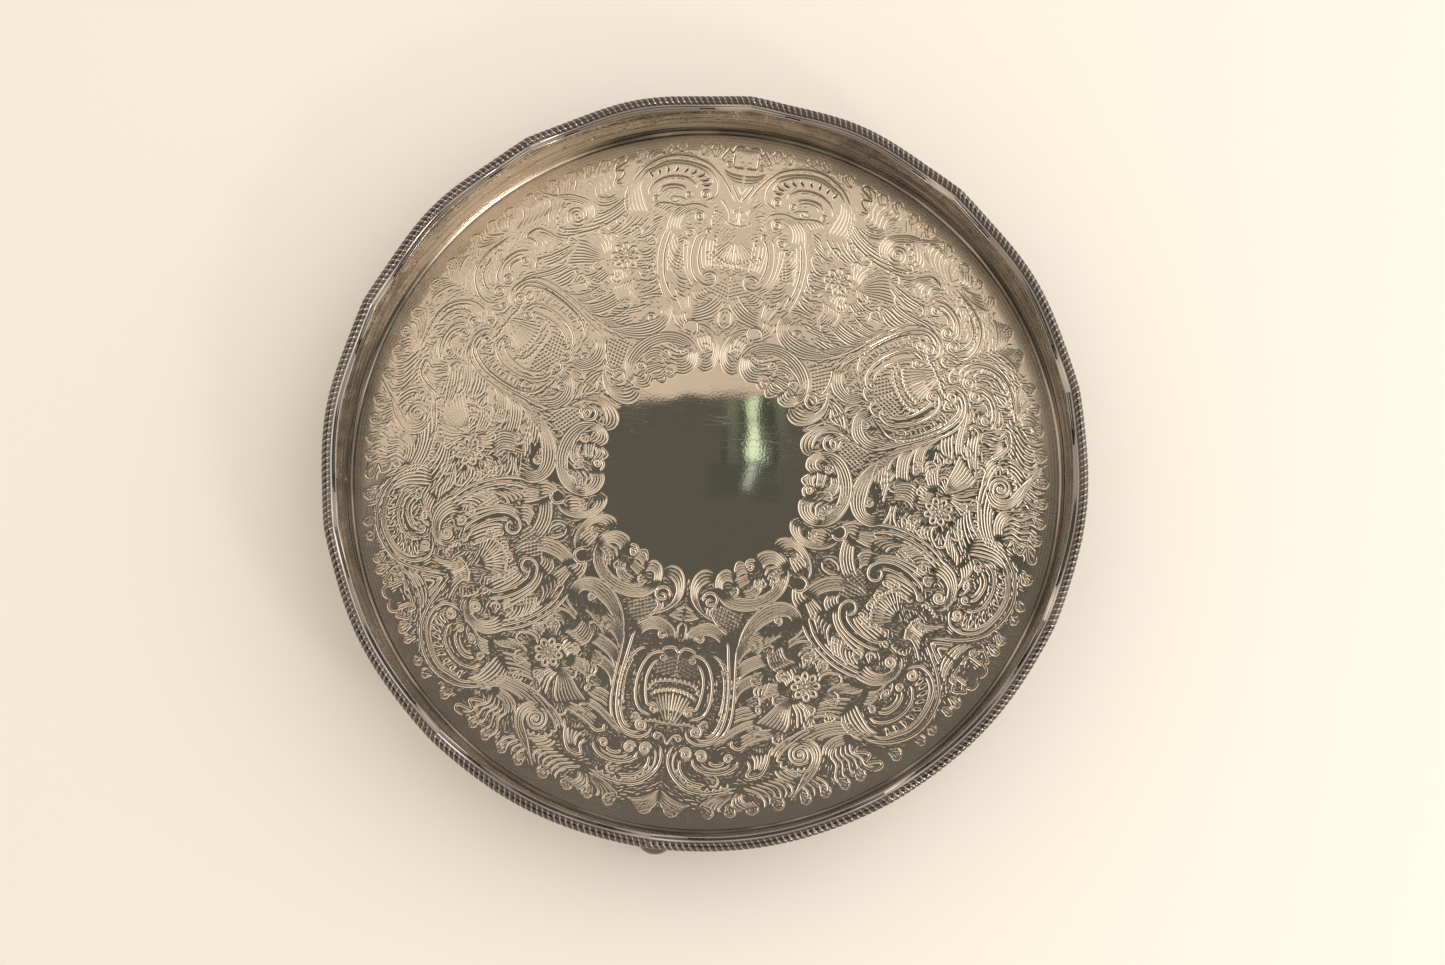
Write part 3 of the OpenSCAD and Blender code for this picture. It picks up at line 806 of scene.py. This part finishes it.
wall = wall_map()
height = np.minimum(PLATE + LOW + UP * np.arange(ROWS), TOP)[:, None]
quarter = ROUND // 4
band_parts = []
for k in range(4):
    steps = quarter * k + np.arange(quarter + 1)
    part = wall[:, steps % ROUND]
    ang = np.radians(FRONT + TURN * steps)
    turn = np.degrees(ang) % 360
    # Painted highlight: round 134 degrees, and a little round 95 degrees, the film is lifted and the wall
    # left lighter and rougher; the marks there keep their film.
    painted_highlight_and_film = 4.5 * np.exp(-((turn - 134) / 24) ** 2) + 0.3 * np.exp(-((turn - 95) / 34) ** 2)
    band_parts.append(mesh_of(f"gallery_inside_{k + 1}", wrapped(ang, WALL + 0.12 * part, height),
                              grid_quads(*part.shape), part * (1.6 + 0.9 * painted_highlight_and_film) - painted_highlight_and_film))
band_out = revolve("gallery_outside",
                   [(WALL, TOP), (BACK, TOP), (BACK, PLATE), (WALL, PLATE), (WALL, PLATE + 5.6)], 720)
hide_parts("gallery_band")
for ob in band_parts + [band_out]:
    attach(ob, "root")
    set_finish(ob, "band_silver")
print("wall faces:", len(band_parts[0].data.polygons) * 4)

# %% [markdown]
# ## Rope border
# Ten castings meet at the cusps of the wave. Each has a rope of slanting lobes outside, a plain
# hollow strip inside it, and a skirt soldered over the wall's top edge.

# %% Build the ten border sections
ROPE_R, ROPE_AT, ROPE_Z, LOBES = 2.05, 175.95, PLATE + 30.5, 39
SKIRT = PLATE + 22.1         # height of the skirt's lower edge
STRIP = ((171.5, -2.3), (171.62, -1.75), (171.95, -1.45), (172.5, -1.45), (173.1, -1.5), (173.7, -1.3),
         (174.2, -0.8), (174.5, -0.1), (176.4, -1.0), (175.4, -1.9), (173.5, -2.9))


def rise(t):
    """Height of the border over its mean, t degrees into a section of 36."""
    u = np.abs(t - 18) / 18
    return np.where(u < 0.64, 1.6 * np.cos(math.pi * u / 0.64),
                    -1.6 + 3.2 * (np.clip(u - 0.64, 0, 1) / 0.36) ** 1.5)


def border(k):
    """The rope of section k and the strip and skirt inside it."""
    t = np.linspace(0, 36, LOBES * 14 + 1)[:, None]
    round_it = np.radians(np.linspace(-250, 110, 25))
    phase = t / 36 * LOBES + round_it / math.pi
    bulge = 0.80 + 0.20 * np.abs(np.sin(math.pi * phase)) ** 0.35
    # The hollows between the lobes get a high cut, and with it the border's pale colour: painted
    # highlights.
    rope = mesh_of(f"rope_{k + 1:02d}",
                   wrapped(np.radians(FRONT + 36 * k + t), ROPE_AT + ROPE_R * bulge * np.cos(round_it),
                           ROPE_Z + rise(t) + ROPE_R * bulge * np.sin(round_it)),
                   grid_quads(*bulge.shape), np.clip((0.93 - bulge) / 0.06, 0, 1))
    t = np.linspace(0, 36, 181)
    rad = np.array([WALL] + [r for r, z in STRIP] + [173.5])[:, None]
    rows = [np.full(len(t), PLATE + 27.4)] + [ROPE_Z + z + rise(t) for r, z in STRIP]
    z = np.maximum(np.array(rows + [np.full(len(t), SKIRT)]), SKIRT)
    # Painted highlights: the strip takes some of the border's pale colour all along, and more near both
    # ends of each section.
    painted_highlight_and_film = 0.32 + 0.4 * np.exp(-((t - 3.5) / 3.2) ** 2) + 0.15 * np.exp(-((t - 33) / 2.5) ** 2)
    strip = mesh_of(f"border_strip_{k + 1:02d}", wrapped(np.radians(FRONT + 36 * k + t), rad, z),
                    grid_quads(*z.shape), np.tile(painted_highlight_and_film, len(z)))
    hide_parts(f"border_section_{k + 1:02d}")
    return [rope, strip]


borders = [ob for k in range(10) for ob in border(k)]
for ob in borders:
    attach(ob, "root")
    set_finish(ob, "border_silver")
print("border faces:", sum(len(o.data.polygons) for o in borders))

# %% [markdown]
# ## Tarnished silver
# Silver is a warm white metal. Here a brown-grey sulphide film lies over it, thicker in the
# grooves, with fine hairline scratches from years of polishing; rubbing only roughens the plate.
# On the wall and the cove the film is lifted round 134 to 138 degrees: a painted highlight. On
# the border the film colour is pale and marks the rope's hollows and the strip: painted highlights.
# Feet, collars, the foot moulding, the lap strip and its rivets keep the design model's own
# shapes and get a finish too.

# %% Silver finishes


def node(tree, kind, **inputs):
    """A new shader node; every keyword names an input and gives it a constant or a socket to link."""
    new = tree.nodes.new("ShaderNode" + kind)
    if kind == "Mix":
        new.data_type = "RGBA"
    for name, value in inputs.items():
        into = new.inputs[name.replace("_", " ")]
        if isinstance(value, bpy.types.NodeSocket):
            tree.links.new(value, into)
        else:
            into.default_value = value
    return new


def silver(name, tint, film_and_highlight_colour, rough, film, groove=0.0, matt=0.0, hair=0.0, scratch=0.02, streak=None):
    """A tarnished silver: tint where there is no film, film and highlight colour, roughness, film amount.

    The attribute cut is 1 at the bottom of a groove and below 0 where the plate is rubbed, where
    only the roughness changes. On the wall and the cove a cut below 0 lifts the film: a painted
    highlight. On the border the film and highlight colour is pale, so a high cut paints a highlight.
    groove says how much of that colour a cut gets, matt how much rougher a groove is. hair is the
    strength of long scratches, scratch the height of fine ones in mm, streak their stretch along x, y, z.
    """
    m = bpy.data.materials.new(name)
    m.use_nodes = True
    tree = m.node_tree
    co = node(tree, "TexCoord").outputs["Object"]
    cut = node(tree, "Attribute")
    cut.attribute_name = "cut"
    cut = cut.outputs["Fac"]

    def noise(size, detail, stretch=None, turn=0.0):
        place = co
        if stretch:
            place = node(tree, "Mapping", Vector=co, Scale=stretch, Rotation=(0, 0, turn),
                         Location=(3 * turn, 0, 0)).outputs["Vector"]
        return node(tree, "TexNoise", Vector=place, Scale=size, Detail=detail).outputs["Fac"]

    def ramp(src, lo, hi, a, b):
        return node(tree, "MapRange", Value=src, From_Min=lo, From_Max=hi, To_Min=a,
                    To_Max=b).outputs["Result"]

    def maths(op, a, b=0.0):
        x = node(tree, "Math")
        x.operation, x.use_clamp = op, op == "ADD"
        tree.links.new(a, x.inputs[0])
        if isinstance(b, float):
            x.inputs[1].default_value = b
        else:
            tree.links.new(b, x.inputs[1])
        return x.outputs[0]

    mask = ramp(noise(14, 6), 0.38, 0.72, film * 0.5, film * 1.5)
    if groove:
        groove_and_highlight = ramp(cut, 0.5, 0.95, 0.0, groove) if matt else maths("MULTIPLY", cut, groove)
        mask = maths("ADD", mask, groove_and_highlight)
    if streak:
        mask = maths("ADD", mask, ramp(noise(420, 3, streak), 0.36, 0.64, -0.35, 0.4))
    gloss = ramp(noise(90, 3), 0.3, 0.75, rough * 0.7, rough * 1.35)
    if matt:
        gloss = maths("ADD", gloss, ramp(cut, 0.05, 0.5, 0.0, matt))
        gloss = maths("ADD", gloss, ramp(cut, -1.0, 0.0, 0.45, 0.0))
    if streak:
        gloss = maths("ADD", gloss, ramp(cut, -4.5, -2.2, 0.3, 0.0))
    if hair:
        for turn, stretch in ((0.7, (13, 120, 1)), (-0.6, (16, 170, 1)), (1.5, (14, 140, 1))):
            away = maths("ABSOLUTE", maths("SUBTRACT", noise(1.4, 0, stretch, turn), 0.5))
            some = ramp(noise(22, 1, (1, 1, turn), turn), 0.53, 0.6, 0.0, hair)
            gloss = maths("ADD", gloss, maths("MULTIPLY", some, ramp(away, 0.0, 0.012, 1.0, 0.0)))
    fine = node(tree, "Bump", Height=noise(1800, 2, streak) if streak else noise(900, 3),
                Distance=scratch * MM)
    wide = node(tree, "Bump", Height=noise(24, 2), Distance=0.10 * MM, Normal=fine.outputs["Normal"])
    colour = node(tree, "Mix", Factor=mask, A=(*tint, 1), B=(*film_and_highlight_colour, 1))
    bsdf = tree.nodes["Principled BSDF"].inputs
    bsdf["Metallic"].default_value = 1.0
    tree.links.new(colour.outputs["Result"], bsdf["Base Color"])
    tree.links.new(gloss, bsdf["Roughness"])
    tree.links.new(wide.outputs["Normal"], bsdf["Normal"])
    return m


FINISHES = {
    "plate_silver": dict(tint=(0.885, 0.737, 0.59), film_and_highlight_colour=(0.10, 0.078, 0.055), rough=0.035, film=0.11,
                         groove=0.95, matt=0.23, hair=0.08, scratch=0.004),
    "band_silver": dict(tint=(0.78, 0.68, 0.57), film_and_highlight_colour=(0.12, 0.108, 0.085), rough=0.25, film=0.62,
                        groove=0.35, streak=(0.04, 0.04, 1.6)),
    # The border's tint is dark and its film and highlight colour pale: where cut is high it paints
    # highlights.
    "border_silver": dict(tint=(0.105, 0.088, 0.074), film_and_highlight_colour=(0.88, 0.81, 0.72), rough=0.15, film=0.03,
                          groove=0.85),
    "foot_silver": dict(tint=(0.17, 0.14, 0.12), film_and_highlight_colour=(0.08, 0.065, 0.05), rough=0.08, film=0.3),
    "tarnish_dark": dict(tint=(0.30, 0.27, 0.23), film_and_highlight_colour=(0.08, 0.06, 0.05), rough=0.35, film=0.6),
}
SKIN = {name: silver(name, **finish) for name, finish in FINISHES.items()}
SLOTS = {s["node"]: s["material_slot"] for s in frame["record"]["subparts"]}
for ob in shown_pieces():
    ob.data.materials.clear()
    ob.data.materials.append(SKIN[ob.get("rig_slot") or SLOTS[ob.name]])

# %% [markdown]
# ## Room, light and camera
# A plain pale table top and soft light from all sides. Overhead is the dark of a room seen in
# the plate, with one curtained window in it. None of this belongs to the object.

# %% Table, cards, lamps, world and camera
CARDS = (      # name, height and x, y corners in mm, colour at low y and at high y, strength, folds
    ("dark_room", 930, [(-440, -330), (420, -330), (450, 160), (320, 205), (100, 232), (-32, 234),
                        (-120, 225), (-299, 186), (-440, 140)],
     (0.155, 0.155, 0.14), (0.11, 0.118, 0.108), 1.0, 0.0),
    ("pale_ceiling", 940, [(-460, 190), (460, 190), (460, 640), (-460, 640)],
     (0.74, 0.68, 0.60), (0.72, 0.66, 0.58), 1.0, 0.0),
    ("dark_corner", 926, [(200, 15), (305, 30), (318, 190), (232, 186), (196, 110)],
     (0.05, 0.058, 0.045), (0.06, 0.075, 0.055), 1.0, 0.0),
    ("window_pane", 925, [(-10, 162), (54, 160), (56, 228), (-6, 228)],
     (0.13, 0.155, 0.13), (0.19, 0.24, 0.19), 1.0, 0.8),
    ("window_gap", 920, [(16, 165), (31, 163), (30, 199.5), (18.5, 200.5)],
     (0.62, 0.84, 0.66), (0.56, 0.72, 0.54), 1.5, 0.0),
    ("window_top", 920, [(18.5, 202.5), (30, 201.5), (30, 228), (17.5, 228)],
     (0.50, 0.68, 0.50), (0.62, 0.84, 0.64), 1.45, 0.0),
    ("window_foot", 920, [(11, 133), (22, 131), (28, 160), (20, 162)],
     (0.30, 0.40, 0.36), (0.50, 0.66, 0.60), 1.15, 0.0),
    ("window_edge", 920, [(47, 138), (48, 138), (49, 228), (48, 228)],
     (0.28, 0.34, 0.28), (0.38, 0.46, 0.36), 1.0, 0.0),
    ("window_sill", 928, [(-28, 128), (52, 124), (54, 160), (-22, 162)],
     (0.095, 0.11, 0.095), (0.085, 0.105, 0.09), 1.0, 0.0),
)


def emitter(name, near, far, strength, folds):
    """A glow whose colour runs from near (low y) to far (high y), with soft curtain folds."""
    m = bpy.data.materials.new(name)
    m.use_nodes = True
    tree = m.node_tree
    tree.nodes.clear()
    co = node(tree, "TexCoord").outputs["Generated"]
    axes = node(tree, "SeparateXYZ", Vector=co)
    colour = node(tree, "Mix", Factor=axes.outputs["Y"], A=(*near, 1), B=(*far, 1))
    if folds:
        wave = node(tree, "TexWave", Vector=co, Scale=folds, Distortion=3.0)
        wave.bands_direction = "X"
        strength = node(tree, "MapRange", Value=wave.outputs["Fac"], To_Min=strength * 0.35,
                        To_Max=strength).outputs["Result"]
    glow = node(tree, "Emission", Color=colour.outputs["Result"], Strength=strength)
    node(tree, "OutputMaterial", Surface=glow.outputs[0])
    return m


def card(name, corners, height, mat):
    """A flat card from x, y corners and a height in mm."""
    me = bpy.data.meshes.new(name)
    me.from_pydata([(x * MM, y * MM, height * MM) for x, y in corners], [], [range(len(corners))])
    me.materials.append(mat)
    ob = placed(name, me)
    return ob


def lamp(name, place, aim, size, power, rgb):
    d = bpy.data.lights.new(name, "AREA")
    d.shape, d.size, d.energy, d.color = "DISK", size, power, rgb
    ob = placed(name, d)
    ob.location = place
    ob.rotation_mode = "QUATERNION"
    ob.rotation_quaternion = (Vector(aim) - Vector(place)).to_track_quat("-Z", "Y")


table = bpy.data.materials.new("table_top")
table.use_nodes = True
bsdf = table.node_tree.nodes["Principled BSDF"].inputs
bsdf["Base Color"].default_value = (0.85, 0.805, 0.735, 1)
bsdf["Roughness"].default_value = 0.7
card("table_top", [(-6000, -6000), (6000, -6000), (6000, 6000), (-6000, 6000)], -0.2, table)
for name, height, corners, near, far, strength, folds in CARDS:
    ob = card(name, corners, height, emitter(name, near, far, strength, folds))
    ob.rotation_euler[2] = math.radians(7.6)
    for key in ("visible_camera", "visible_shadow", "visible_diffuse"):      # seen in reflections only
        setattr(ob, key, False)
lamp("key_light", (1.3, 0.6, 1.3), (0, 0, 0), 2.6, 18, (0.98, 1.0, 1.0))
lamp("low_light", (0.95, -0.72, 0.75), (-0.1, 0.1, 0), 0.2, 2.6, (1.0, 0.98, 0.95))
lamp("second_light", (-1.5, 1.2, 1.8), (0, 0, 0), 2.6, 5, (1.0, 0.96, 0.90))
world = bpy.data.worlds.new("room")
world.use_nodes = True
sky = world.node_tree.nodes["Background"].inputs
sky["Color"].default_value = (0.93, 0.86, 0.765, 1)
sky["Strength"].default_value = 0.895
scene = bpy.context.scene
scene.world = world
scene.view_settings.view_transform = "Standard"
scene.view_settings.look = "None"

eye = Vector((0.0431, -0.1348, PLATE * MM + 0.8219))
look = (Vector((0, 0, PLATE * MM)) - eye).normalized()
level = Vector((*unit(math.radians(17.74)), 0))      # the picture's right before it is rolled
side = (-look).cross(level).normalized()
roll = math.radians(10.14)
right = level * math.cos(roll) - side * math.sin(roll)
up = level * math.sin(roll) + side * math.cos(roll)
cam = placed("camera", bpy.data.cameras.new("camera"))
cam.matrix_world = Matrix((*zip(right, up, -look, eye), (0, 0, 0, 1)))
cam.data.sensor_width, cam.data.lens = 36, 43.17
cam.data.shift_x, cam.data.shift_y = 0.01284, -0.00829
scene.camera = cam
print("camera at", [round(v, 3) for v in eye])
